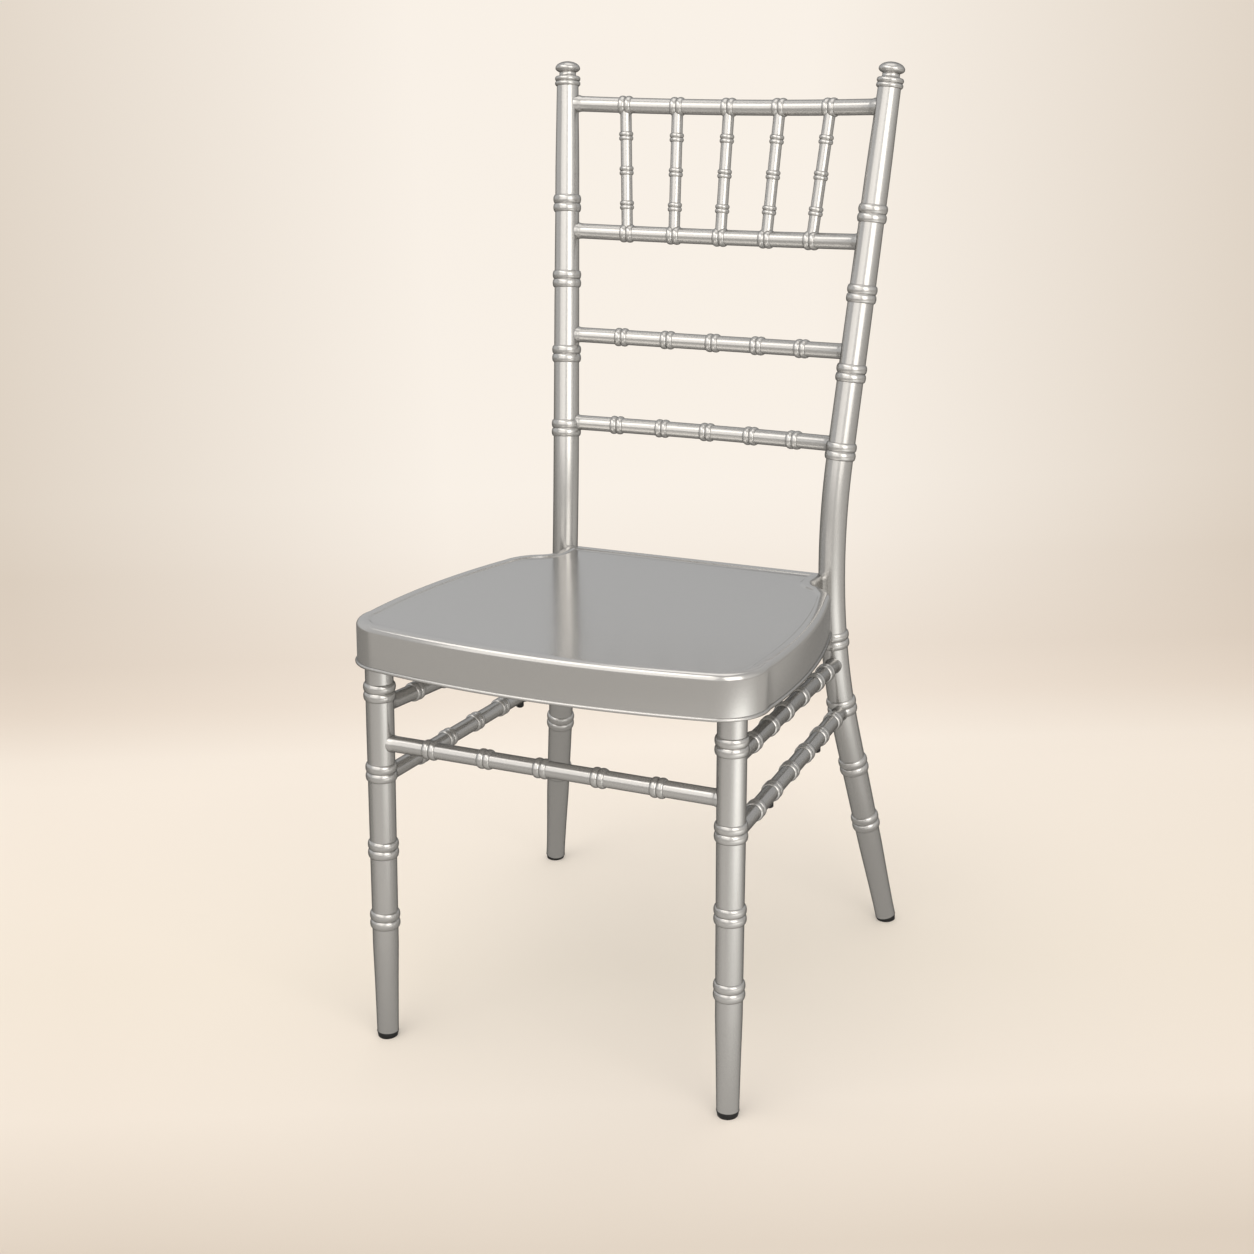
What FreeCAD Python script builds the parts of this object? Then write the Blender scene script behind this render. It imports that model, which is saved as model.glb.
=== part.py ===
import FreeCAD, Part
import math
import os

import Sketcher
from FreeCAD import Vector

# A stacking banquet chair of turned-look metal tube, in millimetres. +Z is up, the front faces -Y,
# and the origin lies on the floor under the middle of the chair.
doc = FreeCAD.newDocument("BanquetChair")
sizes = doc.addObject("Spreadsheet::Sheet", "Sizes")
UP = "vector(0; 0; 1)"


SIZES = {
    # Front legs: straight tubes that lean a little inward and back
    "front_foot_out": 184.5,  # middle of the chair to the front leg's axis, on the floor
    "front_foot_fore": 238.5,  # origin forward to the front leg's axis, on the floor
    "front_lean_in": 0.47,  # inward lean of the front legs, degrees
    "front_lean_back": 4.26,  # backward lean of the front legs, degrees
    "leg_radius": 13.5,  # shank of every leg and post
    "shin_radius": 12.9,  # leg under its lowest ring
    "foot_radius": 10.8,  # leg at its foot
    "front_ring_low": 128,  # foot to the front leg's lowest ring, along the leg
    "front_ring_next": 203,  # foot to the second ring
    "front_ring_pitch": 81,  # between the upper rings of the front leg

    # Rear posts: one tube each, bent once at the seat
    "rear_foot_out": 206.1,  # middle of the chair to the rear post's axis, on the floor
    "rear_foot_back": 181.1,  # origin back to the rear post's axis, on the floor
    "knee_out": 146.7,  # middle of the chair to where the post's two straights would meet
    "knee_back": 121.4,  # origin back to the same point
    "knee_height": 380.7,  # floor to the same point
    "post_top_out": 177.0,  # middle of the chair to the top end of the post
    "post_top_back": 230.1,  # origin back to the top end of the post
    "post_top_height": 889,  # floor to the top end of the post
    "bend_radius": 722,  # bend of the post's centre line
    "neck_radius": 12.6,  # post above its highest ring
    "rear_ring_low": 129,  # foot to the post's lowest ring, along the tube
    "rear_ring_pitch": 70.8,  # to the next ring up
    "back_ring_low": 160.6,  # knee to the lowest ring of the back, along the straight
    "back_ring_pitch": 79.4,  # between the rings of the back

    # Turned rings
    "ring_proud": 1.7,  # ring above the tube on legs and posts
    "ring_length": 16,  # ring along the leg
    "ring_sink": 0.4,  # edge of every ring buried in its tube
    "rail_ring_proud": 1.4,  # ring above the tube on the rails
    "rail_ring_length": 13,  # ring along the rail

    # Rails of the back: all bowed to the rear by the same amount
    "rail_radius": 8,  # rails and stretchers
    "rail_bow": 21,  # middle of a rail behind its ends
    "crest_drop": 17.2,  # crest rail below the posts' top ends, where it meets the posts
    "second_drop": 146.3,  # second rail below them
    "third_drop": 253.3,  # third rail below them
    "fourth_drop": 345,  # fourth rail below them
    "crest_ring_pitch": 57,  # between the rings of the crest rail
    "second_ring_pitch": 51.9,  # between the rings of the second rail
    "third_ring_pitch": 51.3,  # between the rings of the third rail
    "fourth_ring_pitch": 50.8,  # between the rings of the fourth rail
    "baluster_radius": 5,  # upright spindles between the two top rails

    # Stretchers between the legs
    "front_stretcher_height": 312,  # front stretcher's axis, on the front legs
    "upper_stretcher_front": 348,  # upper side stretcher's axis, on the front leg
    "upper_stretcher_rear": 320.6,  # the same on the rear post, along the tube from its foot
    "lower_stretcher_front": 275.6,  # lower side stretcher's axis, on the front leg
    "lower_stretcher_rear": 265.9,  # the same on the rear post, along the tube from its foot

    # Seat pan: a shallow tray of sheet, open underneath, whose outline is measured back from its front edge
    "seat_front_fore": 250.9,  # origin forward to the seat's front edge
    "seat_front_height": 438,  # floor to the top of the front edge
    "seat_tilt": 3.8,  # fall of the seat towards the back, degrees
    "seat_skirt": 43,  # depth of the skirt
    "seat_sheet": 1.5,  # thickness of the sheet
    "seat_band": 11,  # width of the raised rim
    "seat_recess": 2,  # panel below the rim
    "seat_bead_proud": 2.5,  # rolled edge outside the skirt
    "seat_bead_height": 5,  # rolled edge along the skirt
    "seat_round": 6,  # rounding of the rim's outer edge
    "front_arc_out": 170,  # half width where the front curve ends
    "front_arc_back": 17,  # front edge to the same point
    "front_arc_radius": 858,  # curve of the front edge
    "corner_out": 206.5,  # half width where the front corner ends
    "corner_back": 68,  # front edge to the same point
    "corner_radius": 44.2,  # front corner
    "side_out": 183,  # half width where the side curve ends
    "side_fore": 89,  # back edge forward to the same point
    "side_radius": 732,  # side curve
    "rear_corner_out": 160,  # half width where the rear corner ends
    "rear_corner_fore": 53,  # back edge forward to the same point
    "rear_corner_radius": 52,  # rear corner
    "notch_out": 148,  # half width in front of the post
    "notch_fore": 32,  # back edge forward to the same point
    "notch_radius": 18,  # hollow curve that runs in to the post
    "seat_depth": 387,  # front edge to back edge

    # Finials, foot caps and stacking bumpers
    "collar_radius": 12.3,  # finial's beaded collar
    "collar_groove_radius": 11,  # groove between the collar's two beads
    "collar_bead": 5,  # each bead of the collar, along the post
    "finial_neck_radius": 8.3,  # waist of the finial
    "finial_neck_height": 4,  # waist above the collar
    "knob_radius": 12.3,  # knob at its widest
    "knob_waist": 5.5,  # waist to the knob's widest place
    "knob_dome": 6.5,  # widest place to the knob's top
    "cap_radius": 10.5,  # rubber foot cap
    "cap_height": 8,  # floor to the tube's end, along the leg
    "bumper_radius": 4.2,  # stacking bumper
    "bumper_drop": 6,  # bumper below its stretcher
    "bumper_front": 0.305,  # place of the front bumper along the lower side stretcher, as a share
    "bumper_rear": 0.735,  # place of the rear bumper, as a share
}
for row, (alias, amount) in enumerate(SIZES.items(), 1):
    sizes.set(f"A{row}", alias)
    sizes.set(f"B{row}", str(amount))
    sizes.setAlias(f"B{row}", alias)
doc.recompute()


def value(text):
    """The present value of an expression, in millimetres or degrees."""
    found = sizes.evalExpression(text)
    return float(getattr(found, "Value", found))


def define(holder, kind, name, text):
    """Adds a named value to a set: a Vector, Rotation or Float that an expression works out."""
    holder.addProperty(f"App::Property{kind}", name)
    holder.setExpression(name, text)


def side_layout(label, sign):
    """The lines that one side of the frame is built on."""
    side = doc.addObject("App::VarSet", label)
    define(side, "Vector", "front_foot",
           f"vector({sign} * Sizes.front_foot_out; -Sizes.front_foot_fore; 0)")
    define(side, "Vector", "front_run",
           f"vector(-({sign}) * tan(Sizes.front_lean_in); tan(Sizes.front_lean_back); 1)")
    define(side, "Vector", "rear_foot", f"vector({sign} * Sizes.rear_foot_out; Sizes.rear_foot_back; 0)")
    define(side, "Vector", "knee", f"vector({sign} * Sizes.knee_out; Sizes.knee_back; Sizes.knee_height)")
    define(side, "Vector", "post_top",
           f"vector({sign} * Sizes.post_top_out; Sizes.post_top_back; Sizes.post_top_height)")
    define(side, "Vector", "lower", "knee - rear_foot")
    define(side, "Vector", "upper", "post_top - knee")
    define(side, "Float", "knee_reach", "sqrt(vdot(lower; lower))")
    define(side, "Float", "upper_reach", "sqrt(vdot(upper; upper))")
    define(side, "Float", "bend", "vangle(lower; upper)")
    define(side, "Float", "bend_tangent", "Sizes.bend_radius * tan(bend / 2)")
    define(side, "Float", "bend_start", "knee_reach - bend_tangent")
    # The post's own frame: Z along its lower straight, and the bend towards X
    upright = f"rotation({UP}; lower)"
    define(side, "Rotation", "turn",
           f"rotation({upright} * vector(0; 1; 0); vcross(lower; upper)) * {upright}")
    # The front leg ends within the seat's sheet, whose underside then trims it
    define(side, "Vector", "seat_normal", "vector(0; sin(Sizes.seat_tilt); cos(Sizes.seat_tilt))")
    define(side, "Vector", "seat_front", "vector(0; -Sizes.seat_front_fore; Sizes.seat_front_height)")
    define(side, "Float", "front_reach",
           "(vdot(seat_normal; seat_front - front_foot) - Sizes.seat_recess - Sizes.seat_sheet / 2)"
           " / vdot(seat_normal; front_run) * sqrt(vdot(front_run; front_run))")


side_layout("Right", 1)
side_layout("Left", -1)
doc.recompute()
SIDES = ("Right", "Left")


def on_leg(side, height):
    """A point of the front leg's axis at a height above the floor."""
    return f"{side}.front_foot + {side}.front_run * ({height})"


def on_back(side, height):
    """A point of the post's upper straight at a height above the floor."""
    return f"{side}.knee + {side}.upper * ((({height}) - {side}.knee.z) / {side}.upper.z)"


def bend_angle(side, reach):
    """The angle round the post's bend at a distance along the tube from its foot."""
    return f"(({reach}) - {side}.bend_start) / Sizes.bend_radius * 180 / pi"


def bend_place(side, reach):
    """Across and along, in the post's own frame, of that place on the bend."""
    angle = bend_angle(side, reach)
    return (f"Sizes.bend_radius * (1 - cos({angle}))",
            f"{side}.bend_start + Sizes.bend_radius * sin({angle})")


def on_bend(side, reach):
    """A point of the post's axis on the bend, at a distance along the tube from its foot."""
    across, along = bend_place(side, reach)
    return f"{side}.rear_foot + {side}.turn * vector({across}; 0; {along})"


def new_body(label):
    return doc.addObject("PartDesign::Body", label)


def origin_plane(body, role):
    return next(item for item in body.Origin.OriginFeatures if item.Role == role)


def pin(sketch, edge, end, across, up):
    """Holds one end of an edge at a place given by two expressions."""
    for kind, text, axis in (("DistanceX", across, -2), ("DistanceY", up, -1)):
        if text == "0":
            sketch.addConstraint(Sketcher.Constraint("PointOnObject", edge, end, axis))
        else:
            held = sketch.addConstraint(Sketcher.Constraint(kind, -1, 1, edge, end, value(text)))
            sketch.setExpression(f"Constraints[{held}]", text)


def new_sketch(body, name, plane="XZ_Plane", offset=None):
    sketch = body.newObject("Sketcher::SketchObject", name)
    sketch.AttachmentSupport = [(origin_plane(body, plane), "")]
    sketch.MapMode = "FlatFace"
    if offset:
        sketch.setExpression("AttachmentOffset", offset)
    return sketch


def outline(sketch, corners):
    """A closed outline of straight lines between corners, each a pair of expressions."""
    points = [Vector(value(across), value(up), 0) for across, up in corners]
    for number, point in enumerate(points):
        sketch.addGeometry(Part.LineSegment(point, points[(number + 1) % len(points)]))
    for number, (across, up) in enumerate(corners):
        before = (number - 1) % len(points)
        sketch.addConstraint(Sketcher.Constraint("Coincident", before, 2, number, 1))
        pin(sketch, number, 1, across, up)


def turned(body, name, corners, offset=None, plane="XZ_Plane"):
    """A solid of revolution about the sketch's upright axis."""
    sketch = new_sketch(body, name + "_outline", plane, offset)
    outline(sketch, corners)
    feature = body.newObject("PartDesign::Revolution", name)
    feature.Profile = sketch
    feature.ReferenceAxis = (sketch, ["V_Axis"])
    feature.Angle = 360
    return feature


def turned_ring(body, name, tube, proud, length, offset, plane="XZ_Plane"):
    """One turned ring: a low ridge all round the tube."""
    half = f"{length} / 2 * (1 + Sizes.ring_sink / {proud})"
    edge = f"{tube} - Sizes.ring_sink"
    corners = [("0", f"-{half}"), (edge, f"-{half}"), (f"{tube} + {proud}", "0"), (edge, half), ("0", half)]
    return turned(body, name, corners, offset, plane)


def leg_ring(body, name, offset):
    return turned_ring(body, name, "Sizes.leg_radius", "Sizes.ring_proud", "Sizes.ring_length", offset)


def repeated(body, feature, count, pitch):
    """A row of copies along the feature's own axis."""
    row = body.newObject("PartDesign::LinearPattern", feature.Name + "_row")
    row.Originals = [feature]
    row.Direction = (feature.Profile[0], ["V_Axis"])
    row.Occurrences = count
    row.setExpression("Length", f"({pitch}) * {count - 1}")
    body.Tip = row
    return row


def along(reach):
    """Where a sketch on the XZ plane starts when it is moved along the body's Z axis."""
    return f"placement(vector(0; {reach}; 0); rotation({UP}; 0))"


def cut(label, base, *tools):
    """A sub-part: one solid with others taken away from it."""
    piece = doc.addObject("Part::Cut", label)
    piece.Base = base
    piece.Tool = tools[0] if len(tools) == 1 else grouped(label + "_seats", tools)
    return piece


def grouped(label, members):
    group = doc.addObject("Part::Compound", label)
    group.Links = list(members)
    return group


def front_leg(side):
    """A straight leg: shank, slimmer tapered shin and four turned rings."""
    leg = new_body(f"front_leg_{side.lower()}_tube")
    turned(leg, f"{leg.Name}_shank", foot_corners("Sizes.front_ring_low") + [
        ("Sizes.leg_radius", "Sizes.front_ring_low"),
        ("Sizes.leg_radius", f"{side}.front_reach"),
        ("0", f"{side}.front_reach"),
    ])
    leg_ring(leg, f"{leg.Name}_low_ring", along("Sizes.front_ring_low"))
    ring = leg_ring(leg, f"{leg.Name}_ring", along("Sizes.front_ring_next"))
    repeated(leg, ring, 3, "Sizes.front_ring_pitch")
    leg.setExpression("Placement", f"placement({side}.front_foot; rotation({UP}; {side}.front_run))")
    return leg


def foot_corners(ring):
    """The lower end of a leg, from the foot cap up to its lowest ring."""
    return [
        ("0", "Sizes.cap_height"),
        ("Sizes.foot_radius", "Sizes.cap_height"),
        ("Sizes.shin_radius", ring),
    ]


def rear_post(side):
    """One tube from the foot to the finial, bent at the seat, with rings on both of its straights."""
    post = new_body(f"rear_post_{side.lower()}_tube")
    bend = f"{side}.bend"

    def on_straight(reach):
        """Across and along, in the post's own frame, of a place on its upper straight."""
        return f"({reach}) * sin({bend})", f"{side}.knee_reach + ({reach}) * cos({bend})"

    def straight_offset(reach):
        across, up = on_straight(reach)
        return f"placement(vector({across}; {up}; 0); rotation({UP}; -{bend}))"

    turned(post, f"{post.Name}_foot", foot_corners("Sizes.rear_ring_low") + [("0", "Sizes.rear_ring_low")])

    path = new_sketch(post, f"{post.Name}_path")
    high_ring = "Sizes.back_ring_low + 3 * Sizes.back_ring_pitch"
    start = ("0", "Sizes.rear_ring_low")
    bend_start = ("0", f"{side}.bend_start")
    bend_end = on_straight(f"{side}.bend_tangent")
    end = on_straight(high_ring)
    low, first, last, high = (Vector(value(x), value(y), 0) for x, y in (start, bend_start, bend_end, end))
    centre = first + Vector(value("Sizes.bend_radius"), 0, 0)
    circle = Part.Circle(centre, Vector(0, 0, 1), value("Sizes.bend_radius"))
    path.addGeometry(Part.LineSegment(low, first))
    path.addGeometry(Part.ArcOfCircle(circle, math.pi - math.radians(value(bend)), math.pi))
    path.addGeometry(Part.LineSegment(last, high))
    path.addConstraint(Sketcher.Constraint("Tangent", 0, 2, 1, 2))
    path.addConstraint(Sketcher.Constraint("Coincident", 1, 1, 2, 1))
    pin(path, 0, 1, *start)
    pin(path, 0, 2, *bend_start)
    pin(path, 2, 1, *bend_end)
    pin(path, 2, 2, *end)

    section = new_sketch(post, f"{post.Name}_section", "XY_Plane",
                         "placement(vector(0; 0; Sizes.rear_ring_low); rotation(vector(0; 0; 1); 0))")
    round_section(section, "Sizes.leg_radius")
    pipe = post.newObject("PartDesign::AdditivePipe", f"{post.Name}_pipe")
    pipe.Profile = section
    pipe.Spine = (path, ["Edge1", "Edge2", "Edge3"])

    neck_length = f"{side}.upper_reach - ({high_ring})"
    turned(post, f"{post.Name}_neck", [
        ("0", "0"), ("Sizes.neck_radius", "0"), ("Sizes.neck_radius", neck_length), ("0", neck_length),
    ], straight_offset(high_ring))

    ring = leg_ring(post, f"{post.Name}_low_ring", along("Sizes.rear_ring_low"))
    repeated(post, ring, 2, "Sizes.rear_ring_pitch")
    ring = leg_ring(post, f"{post.Name}_back_ring", straight_offset("Sizes.back_ring_low"))
    repeated(post, ring, 4, "Sizes.back_ring_pitch")
    finial(post, straight_offset(f"{side}.upper_reach"))
    post.setExpression("Placement", f"placement({side}.rear_foot; {side}.turn)")
    return post


def round_section(sketch, radius):
    sketch.addGeometry(Part.Circle(Vector(0, 0, 0), Vector(0, 0, 1), value(radius)))
    sketch.addConstraint(Sketcher.Constraint("Coincident", 0, 3, -1, 1))
    held = sketch.addConstraint(Sketcher.Constraint("Radius", 0, value(radius)))
    sketch.setExpression(f"Constraints[{held}]", radius)


def finial(post, offset):
    """The post's turned end: a collar of two beads, a waist and a knob."""
    waist = "2 * Sizes.collar_bead + Sizes.finial_neck_height"
    widest = f"{waist} + Sizes.knob_waist"
    turned(post, f"{post.Name}_finial", [
        ("0", "0"),
        ("Sizes.collar_groove_radius", "0"),
        ("Sizes.collar_radius", "Sizes.collar_bead / 2"),
        ("Sizes.collar_groove_radius", "Sizes.collar_bead"),
        ("Sizes.collar_radius", "Sizes.collar_bead * 1.5"),
        ("Sizes.finial_neck_radius", "Sizes.collar_bead * 2"),
        ("Sizes.finial_neck_radius", waist),
        ("Sizes.knob_radius * 0.92", f"{waist} + Sizes.knob_waist * 0.5"),
        ("Sizes.knob_radius", widest),
        ("Sizes.knob_radius * 0.8", f"{widest} + Sizes.knob_dome * 0.65"),
        ("0", f"{widest} + Sizes.knob_dome"),
    ], offset)


class Rail:
    """The bowed line of one back rail: its ends on the posts' axes and its middle behind them."""

    def __init__(self, label, height, pitch):
        self.label = label
        self.line = doc.addObject("App::VarSet", label + "_line")
        end = on_back("Right", height)
        define(self.line, "Vector", "end", end)
        define(self.line, "Float", "half", "vdot(vector(1; 0; 0); end)")
        define(self.line, "Float", "bow_radius", "(half ^ 2 + Sizes.rail_bow ^ 2) / (2 * Sizes.rail_bow)")
        define(self.line, "Float", "step", f"{pitch} / bow_radius * 180 / pi")
        define(self.line, "Float", "end_angle", "asin(half / bow_radius)")
        define(self.line, "Rotation", "lean", f"rotation({UP}; vector(0; Right.upper.y; Right.upper.z))")
        doc.recompute()
        self.radius = f"{self.line.Name}.bow_radius"

    def angle(self, ring):
        """The angle round the bow of ring number -2 to 2."""
        return f"{ring} * {self.line.Name}.step"

    def offset(self, angle):
        """Across and back, in the rail's own frame, of a place on its bow."""
        return f"{self.radius} * sin({angle})", f"{self.radius} * (cos({angle}) - 1) + Sizes.rail_bow"

    def point(self, ring):
        """The centre of one ring."""
        across, back = self.offset(self.angle(ring))
        name = self.line.Name
        return f"vector(0; {name}.end.y; {name}.end.z) + {name}.lean * vector({across}; {back}; 0)"


def back_rail(rail, posts):
    """A bowed rail with five rings, coped to both posts; the tube is bent a little at each ring."""
    body = new_body(rail.label + "_tube")
    line = rail.line.Name
    centre = f"placement(vector(0; Sizes.rail_bow - {rail.radius}; 0); rotation({UP}; 0))"
    path = new_sketch(body, f"{body.Name}_path", "XY_Plane", centre)
    angles = [f"-{line}.end_angle"] + [rail.angle(ring) for ring in range(-2, 3)] + [f"{line}.end_angle"]
    places = [(f"{rail.radius} * sin({angle})", f"{rail.radius} * cos({angle})") for angle in angles]
    places[3] = ("0", rail.radius)
    points = [Vector(value(across), value(back), 0) for across, back in places]
    for number in range(6):
        path.addGeometry(Part.LineSegment(points[number], points[number + 1]))
        if number:
            path.addConstraint(Sketcher.Constraint("Coincident", number - 1, 2, number, 1))
        pin(path, number, 1, *places[number])
    pin(path, 5, 2, *places[6])

    section = body.newObject("Sketcher::SketchObject", f"{body.Name}_section")
    section.AttachmentSupport = [(path, "Edge1")]
    section.MapMode = "NormalToEdge"
    round_section(section, "Sizes.rail_radius")
    pipe = body.newObject("PartDesign::AdditivePipe", f"{body.Name}_pipe")
    pipe.Profile = section
    pipe.Spine = (path, [f"Edge{number}" for number in range(1, 7)])
    pipe.Transition = "Right corner"

    angle = rail.angle(2)
    across, back = rail.offset(angle)
    ring = turned_ring(body, f"{body.Name}_ring", "Sizes.rail_radius", "Sizes.rail_ring_proud",
                       "Sizes.rail_ring_length",
                       f"placement(vector({across}; {back}; 0); rotation({UP}; -90 - {angle}))", "XY_Plane")
    rings = body.newObject("PartDesign::PolarPattern", f"{body.Name}_rings")
    rings.Originals = [ring]
    rings.Axis = (path, ["N_Axis"])
    rings.Occurrences = 5
    rings.setExpression("Angle", f"4 * {line}.step")
    body.Tip = rings
    body.setExpression("Placement", f"placement(vector(0; {line}.end.y; {line}.end.z); {line}.lean)")
    return cut(rail.label, body, *posts)


def bar(label, start, end, radius):
    """A plain straight tube between two points, which its neighbours then cope."""
    line = doc.addObject("App::VarSet", label + "_line")
    define(line, "Vector", "start", start)
    define(line, "Vector", "run", f"{end} - ({start})")
    define(line, "Float", "reach", "sqrt(vdot(run; run))")
    doc.recompute()
    body = new_body(label + "_tube")
    reach = f"{line.Name}.reach"
    turned(body, f"{label}_turning", [("0", "0"), (radius, "0"), (radius, reach), ("0", reach)])
    body.setExpression("Placement", f"placement({line.Name}.start; rotation({UP}; {line.Name}.run))")
    return body


def foot_cap(label, foot, run, floor):
    """A rubber cap on the tube's end; its sole is cut level with the floor."""
    body = new_body(label + "_moulding")
    turned(body, f"{label}_turning", [
        ("0", "-Sizes.cap_radius"),
        ("Sizes.cap_radius", "-Sizes.cap_radius"),
        ("Sizes.cap_radius", "Sizes.cap_height"),
        ("0", "Sizes.cap_height"),
    ])
    body.setExpression("Placement", f"placement({foot}; rotation({UP}; {run}))")
    return cut(label, body, floor)


def bumper(label, stretcher, share):
    """A rubber button under a stretcher, which rests on the next chair's frame in a stack."""
    line = stretcher.Label.replace("_tube", "_line")
    body = new_body(label + "_moulding")
    sole = "-Sizes.rail_radius - Sizes.bumper_drop"
    turned(body, f"{label}_turning", [
        ("0", sole),
        ("Sizes.bumper_radius", sole),
        ("Sizes.bumper_radius", "-Sizes.rail_radius / 2"),
        ("0", "-Sizes.rail_radius / 2"),
    ])
    body.setExpression("Placement", f"placement({line}.start + {line}.run * {share}; rotation({UP}; 0))")
    return cut(label, body, stretcher)


def seat_corners():
    """The seat's outline, counter-clockwise from the front left: each corner, and the edge that leaves it.

    An edge is a radius and 1 where it bulges outward, -1 where it is hollow, or 0 for a straight line.
    """
    right = [
        ("Sizes.front_arc_out", "Sizes.front_arc_back"),
        ("Sizes.corner_out", "Sizes.corner_back"),
        ("Sizes.side_out", "Sizes.seat_depth - Sizes.side_fore"),
        ("Sizes.rear_corner_out", "Sizes.seat_depth - Sizes.rear_corner_fore"),
        ("Sizes.notch_out", "Sizes.seat_depth - Sizes.notch_fore"),
        ("Sizes.notch_out", "Sizes.seat_depth"),
    ]
    curves = [
        ("Sizes.corner_radius", 1),
        ("Sizes.side_radius", 1),
        ("Sizes.rear_corner_radius", 1),
        ("Sizes.notch_radius", -1),
        ("", 0),
    ]
    left = [(f"-{out}", back) for out, back in reversed(right)]
    front = [("Sizes.front_arc_radius", 1)]
    return right + left, curves + [("", 0)] + curves[::-1] + front


def seat_outline(body):
    """The outline sketch, in the plane of the seat's rim, which falls towards the back."""
    sketch = new_sketch(body, "seat_outline", "XY_Plane",
                        "placement(vector(0; -Sizes.seat_front_fore; Sizes.seat_front_height);"
                        " rotation(vector(1; 0; 0); -Sizes.seat_tilt))")
    corners, edges = seat_corners()
    points = [Vector(value(out), value(back), 0) for out, back in corners]
    ends = []
    for number, (radius, bulge) in enumerate(edges):
        here, there = points[number], points[(number + 1) % len(points)]
        if bulge:
            sketch.addGeometry(arc_between(here, there, value(radius), bulge))
        else:
            sketch.addGeometry(Part.LineSegment(here, there))
        ends.append((2, 1) if bulge < 0 else (1, 2))
    for number, (radius, bulge) in enumerate(edges):
        after = (number + 1) % len(edges)
        end, start = ends[number][1], ends[after][0]
        sketch.addConstraint(Sketcher.Constraint("Coincident", number, end, after, start))
        pin(sketch, number, ends[number][0], *corners[number])
        if bulge:
            held = sketch.addConstraint(Sketcher.Constraint("Radius", number, value(radius)))
            sketch.setExpression(f"Constraints[{held}]", radius)
    return sketch


def arc_between(here, there, radius, bulge):
    """An arc that leaves the straight line between two points by bulging right (1) or left (-1) of it."""
    chord = there - here
    left = Vector(-chord.y, chord.x, 0).normalize()
    rise = math.sqrt(radius ** 2 - (chord.Length / 2) ** 2)
    centre = (here + there) * 0.5 + left * (rise * bulge)
    angles = [math.atan2(point.y - centre.y, point.x - centre.x) for point in (here, there)[::bulge]]
    return Part.ArcOfCircle(Part.Circle(centre, Vector(0, 0, 1), radius), *angles)


def sheet_slab(label, sketch, grow, drop, depth):
    """The outline grown or shrunk in its plane, then made solid from one depth below the rim downward."""
    wire = doc.addObject("Part::Offset2D", label + "_wire")
    wire.Source = sketch
    wire.setExpression("Value", grow)
    slab = doc.addObject("Part::Extrusion", label)
    slab.Base = wire
    slab.DirMode = "Normal"
    slab.Solid = True
    slab.Reversed = True
    slab.setExpression("LengthFwd", depth)
    slab.setExpression("Placement", f"placement(Right.seat_normal * -({drop}); rotation({UP}; 0))")
    return slab


def seat_pan(posts):
    """A pressed tray: rounded rim, sunken panel, thin skirt with a rolled edge, open underneath."""
    block = new_body("seat_pan_block")
    sketch = seat_outline(block)
    pad = block.newObject("PartDesign::Pad", "seat_pan_pad")
    pad.Profile = sketch
    pad.Reversed = True
    pad.setExpression("Length", "Sizes.seat_skirt")
    doc.recompute()
    front = value_vector("Right.seat_front")
    normal = value_vector("Right.seat_normal")
    rim = [f"Edge{number}" for number, edge in enumerate(pad.Shape.Edges, 1)
           if max(abs((corner.Point - front).dot(normal)) for corner in edge.Vertexes) < 0.01]
    rounding = block.newObject("PartDesign::Fillet", "seat_pan_rounding")
    rounding.Base = (pad, rim)
    rounding.setExpression("Radius", "Sizes.seat_round")

    bead = sheet_slab("seat_pan_bead", sketch, "Sizes.seat_bead_proud",
                      "Sizes.seat_skirt - Sizes.seat_bead_height", "Sizes.seat_bead_height")
    recess = sheet_slab("seat_pan_recess", sketch, "-Sizes.seat_band", "-Sizes.seat_recess",
                        "2 * Sizes.seat_recess")
    hollow = sheet_slab("seat_pan_hollow", sketch, "-Sizes.seat_sheet",
                        "Sizes.seat_recess + Sizes.seat_sheet", "Sizes.seat_skirt")
    tray = doc.addObject("Part::Fuse", "seat_pan_tray")
    tray.Base = block
    tray.Tool = bead
    return cut("seat_pan", tray, recess, hollow, *posts)


def value_vector(text):
    return Vector(sizes.evalExpression(text))


# A block under the floor, wider than the chair, which trims the soles of the foot caps
floor = doc.addObject("Part::Box", "floor")
floor.setExpression("Placement", "placement(vector(-Sizes.post_top_height; -Sizes.post_top_height;"
                                 f" -Sizes.seat_skirt); rotation({UP}; 0))")
floor.setExpression("Length", "2 * Sizes.post_top_height")
floor.setExpression("Width", "2 * Sizes.post_top_height")
floor.setExpression("Height", "Sizes.seat_skirt")

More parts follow.
